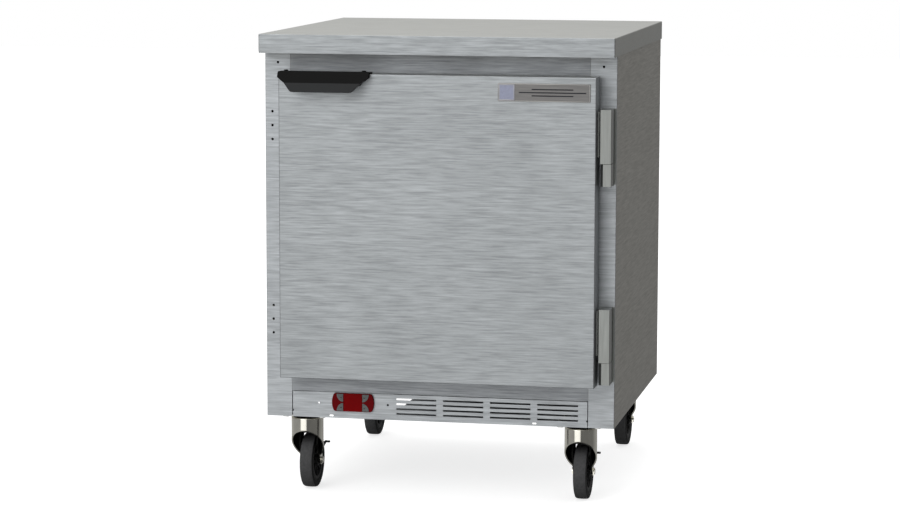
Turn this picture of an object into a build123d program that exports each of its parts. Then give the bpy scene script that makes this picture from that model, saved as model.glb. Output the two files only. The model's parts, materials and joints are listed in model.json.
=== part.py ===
from build123d import *

# Undercounter refrigerator, 27 inches wide, on four hooded casters.
# Units are millimetres. +X is the right-hand side, +Z is up, and the door faces -Y.
# The origin lies on the floor, under the centre of the whole object's footprint.
# "depth" is counted backwards from the cabinet's front face, "height" upwards from the
# cabinet's bottom edge, which the casters hold above the floor.

import os
from math import cos, radians, sin

os.makedirs("parts", exist_ok=True)

# ---------------------------------------------------------------- driving dimensions
cabinet_width = 682.6
cabinet_depth = 635.6
cabinet_height = 709.0
caster_height = 154.0
sheet = 1.2
gap = 0.2
deep = 400.0

worktop_width = 685.8
worktop_thickness = 36.2
worktop_depths = (-42.7, 642.2)
worktop_hem = 16.0
worktop_bend = 1.8

stile_width = 50.1
rear_flange = 20.0
kick_height = 50.2
panel_gap = 1.6
opening_half_width = 277.0
opening_bottom = 104.0
opening_top = 653.0
breaker_thickness = 2.0
breaker_depth = 24.0

liner_back = 583.0
liner_step_depth = 365.0
liner_step_height = 305.0
compartment_depth = 414.8
compartment_height = 251.2
pipe_hole = (90.0, 560.0)
pipe_hole_radius = 13.0
drain_hole = (190.0, 560.0)
drain_hole_radius = 8.0

door_x = (-302.0, 309.5)
door_heights = (84.7, 672.0)
door_front = -50.5
door_back = -9.0
door_sheet = 1.0

handle_x = -212.0
handle_projection = 30.0
handle_screw_offset = 76.0
handle_screw_depth = -44.0

hinge_bottoms = {"upper": 467.2, "lower": 90.3}
hinge_length = 144.5
hinge_axis_x = 330.0
hinge_axis_depth = -22.0
hinge_split = 42.0
hinge_pin_radius = 4.0
hinge_screw_x = 327.35
hinge_screw_rises = (73.8, 100.65, 127.5)
leaf_screw_rises = (66.0, 97.0, 128.0)
leaf_screw_depth = -20.0

controller_x = -168.9
controller_height = 32.0
facia_width = 83.2
facia_height = 35.4
facia_depths = (-5.0, -0.2)
window_width = 36.4
window_depth = -2.6
key_size = (12.8, 15.2)
key_clearance = 0.25
key_travel = 0.8

shelf_heights = {"upper": 478.0, "lower": 318.0}
shelf_half_width = 266.0
shelf_depths = (34.0, 490.0)
pilaster_depths = (60.0, 430.0)

caster_x = 271.1
caster_front_depth = 41.5
caster_rear_depth = cabinet_depth - caster_front_depth
caster_trail = 36.0
wheel_radius = 54.0
wheel_half_width = 12.7
hood_radius = 31.5
hood_wall = 2.3
king_pin_radius = 6.0
axle_radius = 5.0

running = 0.06
screw_radius = 2.3
screw_hole = 2.5

half_width = cabinet_width / 2
axle_height = wheel_radius - caster_height
front_reach = handle_projection - door_front
rear_reach = caster_rear_depth + caster_trail + wheel_radius
face_y = (front_reach - rear_reach) / 2
cabinet_back = cabinet_depth - sheet - gap
liner_floor = opening_bottom + breaker_thickness + 2 * gap
liner_ceiling = opening_top - breaker_thickness - gap
liner_half_width = opening_half_width - breaker_thickness - gap
underside_half = half_width - sheet - gap
underside_top = kick_height + 2.2
hinge_screw_heights = [bottom + rise for bottom in hinge_bottoms.values() for rise in hinge_screw_rises]
leaf_screw_heights = [bottom + rise for bottom in hinge_bottoms.values() for rise in leaf_screw_rises]


# ------------------------------------------------------------------- planes and shapes
def level(height, x=0.0, depth=0.0):
    """Horizontal plane seen from above: local X is +X, local Y is depth, out is upwards."""
    return Plane(origin=(x, face_y + depth, caster_height + height))


def facing(depth, x=0.0, height=0.0):
    """Upright plane seen from the front: local X is +X, local Y is height, out is forwards."""
    origin = (x, face_y + depth, caster_height + height)
    return Plane(origin=origin, x_dir=(1, 0, 0), z_dir=(0, -1, 0))


def flank(x, depth=0.0, height=0.0):
    """Upright plane seen from the right: local X is depth, local Y is height, out is rightwards."""
    origin = (x, face_y + depth, caster_height + height)
    return Plane(origin=origin, x_dir=(0, 1, 0), z_dir=(1, 0, 0))


def block(x, depth, height, mode=Mode.ADD):
    """Box between two x values, two depths and two heights."""
    with BuildSketch(level(height[0])) as outline:
        with Locations(((x[0] + x[1]) / 2, (depth[0] + depth[1]) / 2)):
            Rectangle(x[1] - x[0], depth[1] - depth[0])
    extrude(outline.sketch, amount=height[1] - height[0], mode=mode)


def disc(plane, radius, length, mode=Mode.ADD):
    """Round bar from a plane along its normal."""
    with BuildSketch(plane) as outline:
        Circle(radius)
    extrude(outline.sketch, amount=length, mode=mode)


def plate(plane, width, height, length, corner=0.0, mode=Mode.ADD):
    """Rectangular plate centred on a plane, with rounded corners if asked."""
    with BuildSketch(plane) as outline:
        if corner:
            RectangleRounded(width, height, corner)
        else:
            Rectangle(width, height)
    extrude(outline.sketch, amount=length, mode=mode)


def profile_across(points, x, mode=Mode.ADD):
    """Side-view outline of (depth, height) points, extruded between two x values."""
    with BuildSketch(flank(x[0])) as outline:
        with BuildLine():
            Polyline(*points, close=True)
        make_face()
    extrude(outline.sketch, amount=x[1] - x[0], mode=mode)


def screw(plane, head_radius, head_height, shank_length, sides=0):
    """Screw whose head stands on a plane and whose shank runs behind it."""
    with BuildSketch(plane) as head:
        if sides:
            RegularPolygon(head_radius, sides)
        else:
            Circle(head_radius)
    extrude(head.sketch, amount=head_height, taper=0 if sides else 25)
    disc(plane, screw_radius if not sides else bolt_radius, -shank_length)


def tube_along(points, bend, radius):
    """Bent pipe through (x, depth, height) points."""
    places = [(x, face_y + depth, caster_height + height) for x, depth, height in points]
    with BuildLine() as route:
        FilletPolyline(*places, radius=bend)
    with BuildSketch(Plane(origin=route.line @ 0, z_dir=route.line % 0)) as section:
        Circle(radius)
    sweep(section.sketch, path=route.line)


def fan_wheel(plane, hub_radius, tip_radius, hub_length, shaft_radius, blades, pitch):
    """Axial fan wheel: a bored hub with pitched flat blades."""
    reach = tip_radius - hub_radius + 2
    disc(plane, hub_radius, hub_length)
    with Locations(plane.location * Location((0, 0, hub_length / 2))):
        with PolarLocations(hub_radius - 2 + reach / 2, blades):
            Box(reach, tip_radius * 0.6, 1.6, rotation=(pitch, 0, 0))
    disc(plane.offset(-1), shaft_radius + running, hub_length + 2, mode=Mode.SUBTRACT)


# ----------------------------------------------------------------------------- worktop
worktop_middle = sum(worktop_depths) / 2
worktop_depth = worktop_depths[1] - worktop_depths[0]

with BuildPart() as worktop:
    plate(level(cabinet_height, depth=worktop_middle), worktop_width, worktop_depth, worktop_thickness, 2.0)
    fillet(worktop.faces().sort_by(Axis.Z)[-1].edges(), radius=worktop_bend)
    plate(
        level(cabinet_height + sheet, depth=worktop_middle),
        worktop_width - 2 * sheet,
        worktop_depth - 2 * sheet,
        worktop_thickness - 2 * sheet,
        mode=Mode.SUBTRACT,
    )
    plate(
        level(cabinet_height, depth=worktop_middle),
        worktop_width - 2 * worktop_hem,
        worktop_depth - 2 * worktop_hem,
        sheet,
        mode=Mode.SUBTRACT,
    )
worktop.part.label = "worktop"
export_step(worktop.part, "parts/worktop.step")

# ------------------------------------------------------------------------ side panels
corner_hole_x = 315.8
corner_hole_height = 689.3
panel_hem = 15.0
panel_bend = 1.0

for name, side in (("left_side_panel", -1), ("right_side_panel", 1)):
    with BuildPart() as side_panel:
        wall = sorted((side * (half_width - sheet), side * half_width))
        stile = sorted((side * (half_width - stile_width), side * half_width))
        rear = sorted((side * (half_width - rear_flange), side * half_width))
        hem = sorted((side * (half_width - panel_hem), side * half_width))
        block(wall, (0, cabinet_depth), (0, cabinet_height))
        block(stile, (0, sheet), (0, cabinet_height))
        block(rear, (cabinet_depth - sheet, cabinet_depth), (0, cabinet_height))
        block(hem, (0, cabinet_depth), (0, sheet))
        upright_edges = side_panel.edges().filter_by(Axis.Z).sort_by(Axis.X, reverse=side > 0)
        fillet(upright_edges[:2], radius=panel_bend)
        with BuildSketch(facing(0)):
            with Locations([(side * hinge_screw_x, height) for height in hinge_screw_heights]):
                Circle(screw_hole)
            with Locations((side * corner_hole_x, corner_hole_height)):
                Circle(screw_hole)
        extrude(amount=-sheet, mode=Mode.SUBTRACT)
    side_panel.part.label = name
    export_step(side_panel.part, f"parts/{name}.step")

# ------------------------------------------------------- front frame, breaker and liner
with BuildPart() as face_frame:
    frame_half = half_width - stile_width - 2 * gap
    opening_x = (-opening_half_width, opening_half_width)
    opening_heights = (opening_bottom, opening_top)
    block((-frame_half, frame_half), (0, sheet), (kick_height + 1.2, cabinet_height))
    block(opening_x, (0, sheet), opening_heights, mode=Mode.SUBTRACT)
face_frame.part.label = "face_frame"
export_step(face_frame.part, "parts/face_frame.step")

with BuildPart() as breaker_strip:
    for inset, mode in ((gap, Mode.ADD), (gap + breaker_thickness, Mode.SUBTRACT)):
        block(
            (-opening_half_width + inset, opening_half_width - inset),
            (0, breaker_depth),
            (opening_bottom + inset, opening_top - inset),
            mode=mode,
        )
breaker_strip.part.label = "breaker_strip"
export_step(breaker_strip.part, "parts/breaker_strip.step")


def liner_outline(skin, front):
    """Side view of the food cavity, stepped over the machine compartment, grown by a skin."""
    return [
        (front, liner_floor - skin),
        (liner_step_depth + skin, liner_floor - skin),
        (liner_step_depth + skin, liner_step_height - skin),
        (liner_back + skin, liner_step_height - skin),
        (liner_back + skin, liner_ceiling + skin),
        (front, liner_ceiling + skin),
    ]


def service_holes(height, length):
    """Holes for the refrigerant pipes and the drain, through a level wall."""
    disc(level(height, *pipe_hole), pipe_hole_radius, length, mode=Mode.SUBTRACT)
    disc(level(height, *drain_hole), drain_hole_radius, length, mode=Mode.SUBTRACT)


with BuildPart() as inner_liner:
    outer_half = liner_half_width + sheet
    profile_across(liner_outline(sheet, breaker_depth + gap), (-outer_half, outer_half))
    profile_across(liner_outline(0, breaker_depth), (-liner_half_width, liner_half_width), mode=Mode.SUBTRACT)
    service_holes(liner_step_height - 2, 10)
inner_liner.part.label = "inner_liner"
export_step(inner_liner.part, "parts/inner_liner.step")

rear_screw_x = 300.0
rear_screw_heights = (18.0, 243.0)
rear_screw_places = [(x, height) for x in (-rear_screw_x, rear_screw_x) for height in rear_screw_heights]
rear_tab = 16.0
floor_front = 6.0

with BuildPart() as cabinet_underside:
    span = (-underside_half, underside_half)
    block(span, (floor_front, compartment_depth), (underside_top - sheet, underside_top))
    block(span, (compartment_depth - sheet, compartment_depth), (underside_top, compartment_height))
    block(span, (compartment_depth - sheet, cabinet_back), (compartment_height, compartment_height + sheet))
    block(
        (-underside_half + rear_flange, underside_half - rear_flange),
        (cabinet_back - sheet, cabinet_back),
        (compartment_height - rear_tab, compartment_height),
    )
    service_holes(compartment_height - 1, 5)
    with BuildSketch(facing(cabinet_back)):
        with Locations(rear_screw_places[1], rear_screw_places[3]):
            Circle(screw_hole)
    extrude(amount=sheet, mode=Mode.SUBTRACT)
cabinet_underside.part.label = "cabinet_underside"
export_step(cabinet_underside.part, "parts/cabinet_underside.step")

foam_screw_depth = 12.0

with BuildPart() as foam_insulation:
    foam_step = compartment_depth - sheet - gap
    foam_outline = [
        (sheet + gap, underside_top + gap),
        (foam_step, underside_top + gap),
        (foam_step, compartment_height + sheet + gap),
        (cabinet_back, compartment_height + sheet + gap),
        (cabinet_back, cabinet_height - gap),
        (sheet + gap, cabinet_height - gap),
    ]
    profile_across(foam_outline, (-underside_half, underside_half))
    liner_clearance = liner_half_width + sheet + gap
    profile_across(
        liner_outline(sheet + gap, breaker_depth),
        (-liner_clearance, liner_clearance),
        mode=Mode.SUBTRACT,
    )
    block(opening_x, (0, breaker_depth + gap), opening_heights, mode=Mode.SUBTRACT)
    service_holes(compartment_height, 70)
    with BuildSketch(facing(0)):
        with Locations([(side * hinge_screw_x, height) for side in (-1, 1) for height in hinge_screw_heights]):
            Circle(screw_hole)
        with Locations([(side * corner_hole_x, corner_hole_height) for side in (-1, 1)]):
            Circle(screw_hole)
    extrude(amount=-foam_screw_depth, mode=Mode.SUBTRACT)
    plate(
        level(cabinet_height + sheet + gap, depth=worktop_middle),
        worktop_width - 2 * sheet - 2 * gap,
        worktop_depth - 2 * sheet - 2 * gap,
        worktop_thickness - 2 * sheet - 2 * gap,
    )
foam_insulation.part.label = "foam_insulation"
export_step(foam_insulation.part, "parts/foam_insulation.step")

# -------------------------------------------------------------------------- rear panels
rear_half = half_width - rear_flange - gap
gland_place = (-250.0, 60.0)
gland_radius = 13.0
gland_barrel_radius = 8.0
cord_hole_radius = 4.5
panel_split = compartment_height + sheet

with BuildPart() as back_panel:
    block((-rear_half, rear_half), (cabinet_depth - sheet, cabinet_depth), (panel_split, cabinet_height))
back_panel.part.label = "back_panel"
export_step(back_panel.part, "parts/back_panel.step")

with BuildPart() as rear_grille:
    block((-rear_half, rear_half), (cabinet_depth - sheet, cabinet_depth), (0, panel_split - 1))
    with BuildSketch(facing(cabinet_depth)):
        with Locations((20, 130)):
            with GridLocations(175, 18, 3, 9):
                SlotOverall(150, 6)
        with Locations(gland_place):
            Circle(gland_barrel_radius + gap)
        with Locations(rear_screw_places):
            Circle(screw_hole)
    extrude(amount=sheet, mode=Mode.SUBTRACT)
rear_grille.part.label = "rear_grille"
export_step(rear_grille.part, "parts/rear_grille.step")

with BuildPart() as cord_gland:
    disc(facing(cabinet_depth + 6, *gland_place), gland_radius, 6)
    disc(facing(cabinet_depth, *gland_place), gland_barrel_radius, 12)
    disc(facing(cabinet_depth - sheet - gap, *gland_place), gland_radius, 5)
    chamfer(cord_gland.edges().filter_by(GeomType.CIRCLE).sort_by(Axis.Y)[-1], 1.5)
    disc(facing(cabinet_depth + 7, *gland_place), cord_hole_radius, 30, mode=Mode.SUBTRACT)
cord_gland.part.label = "cord_gland"
export_step(cord_gland.part, "parts/cord_gland.step")

# --------------------------------------------------------------------------- base frame
rail_bottom = 3.2
rail_sheet = 2.0
rail_top = rail_bottom + rail_sheet
rail_flange = 20.0
base_half = half_width - sheet - 0.6
base_back = cabinet_depth - sheet - gap
front_rail_depths = (16.0, 112.0)
tray_left = -96.0
machine_front = 425.0
bolt_radius = 4.0
bolt_hole = 4.3
bolt_grid = (72.0, 52.0)
caster_spots = {
    "front_left": (-caster_x, caster_front_depth),
    "front_right": (caster_x, caster_front_depth),
    "rear_left": (-caster_x, caster_rear_depth),
    "rear_right": (caster_x, caster_rear_depth),
}

with BuildPart() as base_frame:
    span = (-base_half, base_half)
    rail_heights = (rail_bottom, rail_top)
    block(span, front_rail_depths, rail_heights)
    block(span, (machine_front, base_back), rail_heights)
    # The tray drops in between the rails.
    tray_depths = (front_rail_depths[1] + gap, machine_front - gap)
    block((tray_left, base_half - rail_flange - gap), tray_depths, rail_heights)
    block((-rear_half, rear_half), (base_back - rail_sheet, base_back), (rail_bottom, 30))
    for side in (-1, 1):
        web = sorted((side * (base_half - rail_sheet), side * base_half))
        flange = sorted((side * (base_half - rail_flange), side * base_half))
        block(web, (2, base_back), (rail_bottom, kick_height))
        block(flange, (2, base_back), rail_heights)
        block(flange, (2, base_back), (kick_height - rail_sheet, kick_height))
    for x, depth in caster_spots.values():
        with BuildSketch(level(rail_bottom, x, depth)):
            with GridLocations(*bolt_grid, 2, 2):
                Circle(bolt_hole)
        extrude(amount=rail_sheet, mode=Mode.SUBTRACT)
    with BuildSketch(facing(base_back)):
        with Locations(rear_screw_places[0], rear_screw_places[2]):
            Circle(screw_hole)
    extrude(amount=rail_sheet, mode=Mode.SUBTRACT)
base_frame.part.label = "base_frame"
export_step(base_frame.part, "parts/base_frame.step")

# ---------------------------------------------------------------------------- kick panel
panel_half = half_width - stile_width - panel_gap
louvre_size = (79.0, 3.4)
louvre_pitch = (92.05, 9.5)
louvre_middle = (94.1, 26.95)
notch_height = 12.7
panel_tab_x = (-249.0, -88.0)
controller_hole = (71.6, 29.2)
indicator_hole = (-100.3, 29.0)
indicator_radius = 2.2
sensor_hole = (-237.5, 28.8)
drain_slots = ((-212.4, 4.4), (187.2, 4.4))

with BuildPart() as kick_panel:
    block((-panel_half, panel_half), (0, sheet), (0, kick_height))
    block((-panel_half, panel_half), (0, 10), (kick_height - sheet, kick_height))
    block(panel_tab_x, (2, 10), (kick_height, kick_height + 0.6))
    block((-panel_half, panel_half), (0, 6), (0, sheet))
    with BuildSketch(facing(0)):
        with Locations(louvre_middle):
            with GridLocations(*louvre_pitch, 4, 4):
                Rectangle(*louvre_size)
        with Locations((controller_x, controller_height)):
            Rectangle(*controller_hole)
        with Locations(indicator_hole):
            Circle(indicator_radius)
        with Locations(sensor_hole):
            Circle(1.8)
        with Locations(*drain_slots):
            SlotOverall(8.5, 3.6)
        with Locations((-panel_half, notch_height), (panel_half, notch_height)):
            Circle(2.2)
    extrude(amount=-sheet, mode=Mode.SUBTRACT)
kick_panel.part.label = "kick_panel"
export_step(kick_panel.part, "parts/kick_panel.step")

# ---------------------------------------------------------------------------- controller
facia_bulge = 4.5
facia_corner = 4.5
display_opening = (28.0, 13.0)
key_margin = 1.1
key_depths = (-5.8, -1.3)
key_places = {
    "key_set": (-1, 1),
    "key_up": (1, 1),
    "key_defrost": (-1, -1),
    "key_down": (1, -1),
}


def key_outline(depth, across, up, clearance):
    """Quarter ellipse whose square corner is beside the window, at the facia's long edge."""
    corner_x = controller_x + across * (window_width / 2 + 0.6 + key_clearance - clearance)
    corner_height = controller_height + up * (facia_height / 2 - key_margin + clearance)
    size = (key_size[0] + 2 * clearance, key_size[1] + 2 * clearance)
    with BuildSketch(facing(depth, corner_x, corner_height)) as outline:
        Ellipse(*size)
        with Locations((across * size[0], -up * size[1])):
            Rectangle(2 * size[0], 2 * size[1], mode=Mode.INTERSECT)
    return outline.sketch


with BuildPart() as controller_body:
    plate(facing(0, controller_x, controller_height), 70.8, 28.4, -56, 1.5)
    disc(facing(0.4, *indicator_hole), indicator_radius - 0.1, -4)
    disc(facing(sheet + 0.1, *indicator_hole), indicator_radius + 2, -4)
controller_body.part.label = "controller_body"
export_step(controller_body.part, "parts/controller_body.step")

with BuildPart() as controller_facia:
    with BuildSketch(facing(facia_depths[1], controller_x, controller_height)) as facia_outline:
        with BuildLine():
            right = facia_width / 2 - facia_bulge
            top = facia_height / 2
            Line((-right, top), (right, top))
            ThreePointArc((right, top), (facia_width / 2, 0), (right, -top))
            Line((right, -top), (-right, -top))
            ThreePointArc((-right, -top), (-facia_width / 2, 0), (-right, top))
        make_face()
        fillet(facia_outline.vertices(), radius=facia_corner)
    extrude(amount=facia_depths[1] - facia_depths[0])
    fillet(controller_facia.faces().sort_by(Axis.Y)[0].edges(), radius=1.0)
    window_seat = facing(window_depth, controller_x, controller_height)
    plate(window_seat, window_width, 2 * facia_height, 10, mode=Mode.SUBTRACT)
    plate(window_seat.offset(-5), *display_opening, 10, mode=Mode.SUBTRACT)
    for across, up in key_places.values():
        well = key_outline(facia_depths[1] + 1, across, up, key_clearance)
        extrude(well, amount=10, mode=Mode.SUBTRACT)
controller_facia.part.label = "controller_facia"
export_step(controller_facia.part, "parts/controller_facia.step")

with BuildPart() as controller_window:
    plate(window_seat, window_width - gap, facia_height, 2.9)
    fillet(controller_window.faces().sort_by(Axis.Y)[0].edges(), radius=0.9)
controller_window.part.label = "controller_window"
export_step(controller_window.part, "parts/controller_window.step")

for name, (across, up) in key_places.items():
    with BuildPart() as key:
        extrude(key_outline(key_depths[1], across, up, 0), amount=key_depths[1] - key_depths[0])
        chamfer(key.faces().sort_by(Axis.Y)[0].edges(), length=0.4)
    key.part.label = name
    export_step(key.part, f"parts/{name}.step")

# ---------------------------------------------------------------------------------- door
door_span = (door_x[0] + door_sheet, door_x[1] - door_sheet)
door_inside_heights = (door_heights[0] + door_sheet, door_heights[1] - door_sheet)
handle_screws = [(handle_x + side * handle_screw_offset, handle_screw_depth) for side in (-1, 1)]
leaf_screws = [(leaf_screw_depth, height) for height in leaf_screw_heights]
door_screw_length = 14.0


def door_screw_holes():
    """Holes in the door's top for the handle and in its right edge for the hinges."""
    with BuildSketch(level(door_heights[1])) as handle_holes:
        with Locations(*handle_screws):
            Circle(screw_hole)
    extrude(handle_holes.sketch, amount=-door_screw_length - 1, mode=Mode.SUBTRACT)
    with BuildSketch(flank(door_x[1])) as leaf_holes:
        with Locations(*leaf_screws):
            Circle(screw_hole)
    extrude(leaf_holes.sketch, amount=-door_screw_length - 1, mode=Mode.SUBTRACT)


with BuildPart() as door_outer_pan:
    block(door_x, (door_front, door_back), door_heights)
    fillet(door_outer_pan.faces().sort_by(Axis.Y)[0].edges(), radius=2.0)
    block(door_span, (door_front + door_sheet, door_back), door_inside_heights, mode=Mode.SUBTRACT)
    door_screw_holes()
door_outer_pan.part.label = "door_outer_pan"
export_step(door_outer_pan.part, "parts/door_outer_pan.step")

with BuildPart() as door_foam:
    foam_x = (door_span[0] + gap, door_span[1] - gap)
    foam_heights = (door_inside_heights[0] + gap, door_inside_heights[1] - gap)
    block(foam_x, (door_front + door_sheet + gap, door_back - gap), foam_heights)
    door_screw_holes()
door_foam.part.label = "door_foam"
export_step(door_foam.part, "parts/door_foam.step")

with BuildPart() as door_inner_panel:
    block((door_x[0] + 0.5, door_x[1] - 0.5), (door_back, door_back + 1), (door_heights[0] + 0.5, door_heights[1] - 0.5))
door_inner_panel.part.label = "door_inner_panel"
export_step(door_inner_panel.part, "parts/door_inner_panel.step")

gasket_half_width = 298.0
gasket_heights = (88.5, 668.5)
gasket_width = 17.0


def gasket_ring(depths, inset, width):
    """Rectangular ring inset from the gasket's outer edge."""
    for margin, mode in ((inset, Mode.ADD), (inset + width, Mode.SUBTRACT)):
        half = gasket_half_width - margin
        block((-half, half), depths, (gasket_heights[0] + margin, gasket_heights[1] - margin), mode=mode)


with BuildPart() as door_gasket:
    gasket_ring((door_back + 1, -6.2), 0, gasket_width)
with BuildPart() as gasket_bellows:
    gasket_ring((-6.2, -4.4), 4.5, 8)
with BuildPart() as gasket_magnet:
    gasket_ring((-4.4, -0.4), 1.5, 14)
with BuildPart() as whole_gasket:
    add(door_gasket.part)
    add(gasket_bellows.part)
    add(gasket_magnet.part)
whole_gasket.part.label = "door_gasket"
export_step(whole_gasket.part, "parts/door_gasket.step")

# -------------------------------------------------------------------------- door handle
handle_top = 676.3
handle_bottom = 638.0
handle_bend = 655.0
handle_wall = 3.0
handle_half_width = 88.5
handle_flange_half = 89.5
handle_shoulder = 665.0
handle_corner = 10.0


def handle_outline(inset):
    """Front view of the scoop: wide and rounded at the top, tapered towards the fingers."""
    low = handle_bottom - 10 * inset
    with BuildSketch(facing(0, handle_x)) as outline:
        with BuildLine():
            Polyline(
                (handle_half_width - inset, handle_top),
                (handle_half_width - inset, handle_shoulder),
                (74.5 - inset, handle_bend),
                (59.5 - inset, low),
                (inset - 59.5, low),
                (inset - 74.5, handle_bend),
                (inset - handle_half_width, handle_shoulder),
                (inset - handle_half_width, handle_top),
                close=True,
            )
        make_face()
        rows = outline.vertices().group_by(Axis.Y)
        if not inset:
            fillet(rows[0], radius=handle_corner)
        fillet(rows[2], radius=handle_corner)
        if not inset:
            fillet(outline.vertices().group_by(Axis.Y)[-1], radius=4.0)
    return outline.sketch


def handle_solid(inset):
    """Scoop of the handle: its side outline, cut to its front outline, both inset."""
    low = handle_bottom if not inset else handle_bottom - 30
    side_outline = [
        (door_front, handle_top - inset),
        (door_front - 9, handle_top - inset),
        (door_front - 11 + inset, handle_top - 1.5 - inset),
        (door_front - 20 + inset, handle_bend),
        (door_front - handle_projection + inset, handle_bottom),
        (door_front - handle_projection + inset, low - 1),
        (door_front, low - 1),
    ]
    profile_across(side_outline, (handle_x - deep, handle_x + deep))
    extrude(handle_outline(inset), amount=deep, mode=Mode.INTERSECT)


with BuildPart() as handle_pocket:
    handle_solid(handle_wall)

with BuildPart() as door_handle:
    handle_solid(0)
    add(handle_pocket.part, mode=Mode.SUBTRACT)
    block(
        (handle_x - handle_flange_half, handle_x + handle_flange_half),
        (door_front - 3, -32),
        (door_heights[1], door_heights[1] + 3.5),
    )
    with BuildSketch(level(door_heights[1])):
        with Locations(*handle_screws):
            Circle(screw_hole)
    extrude(amount=10, mode=Mode.SUBTRACT)
door_handle.part.label = "door_handle"
export_step(door_handle.part, "parts/door_handle.step")

with BuildPart() as door_screws:
    for x, depth in handle_screws:
        screw(level(door_heights[1] + 3.5, x, depth), 5.0, 2.6, door_screw_length)
    for depth, height in leaf_screws:
        screw(flank(door_x[1] + 2.7, depth, height), 4.0, 1.2, door_screw_length)
door_screws.part.label = "door_screws"
export_step(door_screws.part, "parts/door_screws.step")

# --------------------------------------------------------------------------------- badge
badge_x = (123.0, 298.5)
badge_heights = (625.5, 659.5)
badge_thickness = 1.5
badge_centre = (sum(badge_x) / 2, sum(badge_heights) / 2)
tile_size = 30.0

with BuildPart() as badge_plate:
    plate(
        facing(door_front, *badge_centre),
        badge_x[1] - badge_x[0],
        badge_heights[1] - badge_heights[0],
        badge_thickness,
        2.0,
    )
    fillet(badge_plate.faces().sort_by(Axis.Y)[0].edges(), radius=0.4)
badge_plate.part.label = "badge_plate"
export_step(badge_plate.part, "parts/badge_plate.step")

with BuildPart() as badge_tile:
    tile_plane = facing(door_front - badge_thickness, badge_x[0] + 2 + tile_size / 2, badge_centre[1])
    plate(tile_plane, tile_size, tile_size, 0.8, 1.5)
badge_tile.part.label = "badge_tile"
export_step(badge_tile.part, "parts/badge_tile.step")

# -------------------------------------------------------------------------------- hinges
cover_x = (316.1, 337.1)
cover_depths = (-43.0, -7.0)
hinge_edge = 0.7
pin_top = 132.0

for name, bottom in hinge_bottoms.items():
    with BuildPart() as frame_leaf:
        block((313.5, 340.6), (-2, 0), (bottom, bottom + hinge_length))
        with BuildSketch(level(bottom)):
            with BuildLine():
                Polyline((316.6, -1), (316.6, -36.4), (321.4, -39.9), (337.1, -39.9), (337.1, -1), close=True)
            make_face()
        extrude(amount=hinge_split)
        fillet(frame_leaf.edges().filter_by(Axis.Z).sort_by(Axis.Y)[:2], radius=hinge_edge)
        disc(level(bottom + hinge_split, hinge_axis_x, hinge_axis_depth), hinge_pin_radius, pin_top - hinge_split)
        with BuildSketch(facing(0)):
            with Locations([(hinge_screw_x, bottom + rise) for rise in hinge_screw_rises]):
                Circle(screw_hole)
        extrude(amount=2, mode=Mode.SUBTRACT)
    frame_leaf.part.label = f"{name}_hinge_frame_leaf"
    export_step(frame_leaf.part, f"parts/{name}_hinge_frame_leaf.step")

    with BuildPart() as door_leaf:
        block(cover_x, cover_depths, (bottom + hinge_split + 1, bottom + hinge_length))
        fillet(door_leaf.edges().filter_by(Axis.Z), radius=hinge_edge)
        block((door_x[1] + 2, cover_x[0] + 4), (-12, -8), (bottom + 54.5, bottom + 140))
        block((door_x[1], door_x[1] + 2.7), (-30, -8), (bottom + 54.5, bottom + 140))
        disc(
            level(bottom + hinge_split, hinge_axis_x, hinge_axis_depth),
            hinge_pin_radius + running,
            pin_top + 1 - hinge_split,
            mode=Mode.SUBTRACT,
        )
        with BuildSketch(flank(door_x[1])):
            with Locations([(leaf_screw_depth, bottom + rise) for rise in leaf_screw_rises]):
                Circle(screw_hole)
        extrude(amount=2.7, mode=Mode.SUBTRACT)
    door_leaf.part.label = f"{name}_hinge_door_leaf"
    export_step(door_leaf.part, f"parts/{name}_hinge_door_leaf.step")

# ------------------------------------------------------------------------------- shelves
main_wire = 3.0
cross_wire = 1.6
cross_rise = main_wire + cross_wire - 1.0
wire_count = 27
clip_reach = 9.0
pilaster_size = (20.0, 6.0)
pilaster_top = 640.0
pilaster_bottoms = {60.0: 112.0, 430.0: 307.0}
slot_pitch = 25.4

for name, height in shelf_heights.items():
    with BuildPart() as shelf:
        run = shelf_depths[1] - shelf_depths[0]
        for depth in (shelf_depths[0], 185.0, 335.0, shelf_depths[1]):
            disc(flank(-shelf_half_width, depth, height), main_wire, 2 * shelf_half_width)
        for side in (-1, 1):
            rail_x = side * (shelf_half_width - main_wire)
            disc(facing(shelf_depths[0], rail_x, height), main_wire, -run)
        for number in range(wire_count):
            x = (number - (wire_count - 1) / 2) * 2 * (shelf_half_width - 12) / (wire_count - 1)
            disc(facing(shelf_depths[0], x, height + cross_rise), cross_wire, -run)
    shelf.part.label = f"{name}_shelf"
    export_step(shelf.part, f"parts/{name}_shelf.step")

with BuildPart() as shelf_pilasters:
    for side in (-1, 1):
        for depth, bottom in pilaster_bottoms.items():
            x = sorted((side * (liner_half_width - pilaster_size[1]), side * liner_half_width))
            block(x, (depth - pilaster_size[0] / 2, depth + pilaster_size[0] / 2), (bottom, pilaster_top))
    for depth, bottom in pilaster_bottoms.items():
        slots = int((pilaster_top - bottom - 20) / slot_pitch)
        with BuildSketch(flank(-deep, depth, (pilaster_top + bottom) / 2)):
            with GridLocations(10, slot_pitch, 1, slots):
                Rectangle(6, 3)
        extrude(amount=2 * deep, mode=Mode.SUBTRACT)
shelf_pilasters.part.label = "shelf_pilasters"
export_step(shelf_pilasters.part, "parts/shelf_pilasters.step")

with BuildPart() as shelf_clips:
    for height in shelf_heights.values():
        for depth in pilaster_depths:
            for side in (-1, 1):
                face = liner_half_width - pilaster_size[1]
                x = sorted((side * (face - clip_reach), side * face))
                block(x, (depth - 7, depth + 7), (height - main_wire - 5, height - main_wire))
shelf_clips.part.label = "shelf_clips"
export_step(shelf_clips.part, "parts/shelf_clips.step")

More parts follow.
